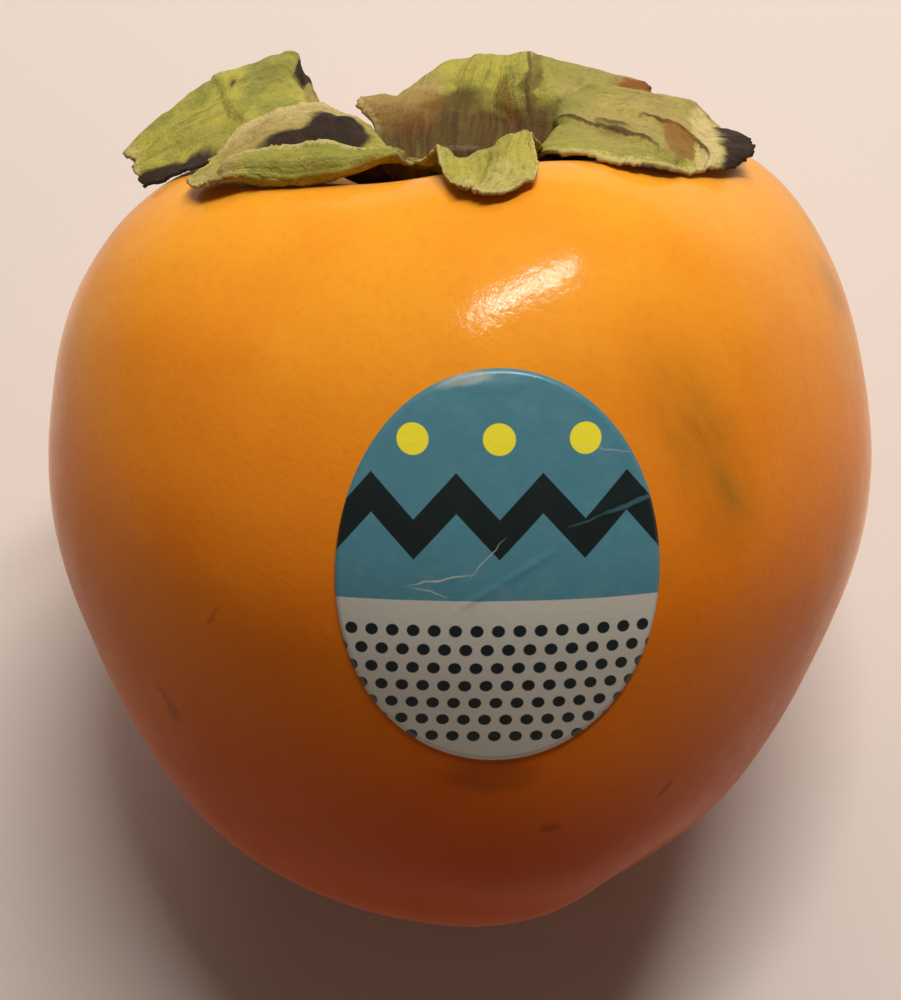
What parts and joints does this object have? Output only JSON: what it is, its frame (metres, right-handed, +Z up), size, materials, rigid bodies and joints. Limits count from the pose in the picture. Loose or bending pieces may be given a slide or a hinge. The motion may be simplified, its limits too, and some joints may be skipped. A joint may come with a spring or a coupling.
{
  "type": "persimmon",
  "caption": "Ripe orange persimmon lying on its side, with a dried leafy calyx, a stalk stub and a plain oval paper sticker.",
  "frame": {"origin": "middle of the small flat that the fruit rests on", "axes": "+Z up, +Y towards the calyx end, whose axis leans 25 degrees up from the surface, +X to the right of the sticker as the picture shows it"},
  "size_m": [0.0904, 0.1022, 0.0909],
  "materials": {
    "skin": "waxy satin orange skin, paler and more yellow towards the calyx",
    "dried_leaf": "dry, wrinkled, olive green fading to tan and brown",
    "stalk_wood": "rough dark brown bark with a paler cut end",
    "sticker_paper": "coated paper, teal over white, slightly creased"
  },
  "bodies": {
    "root": {"fruit": "skin", "calyx": "dried_leaf", "stalk": "stalk_wood", "sticker": "sticker_paper"}
  },
  "joints": []
}
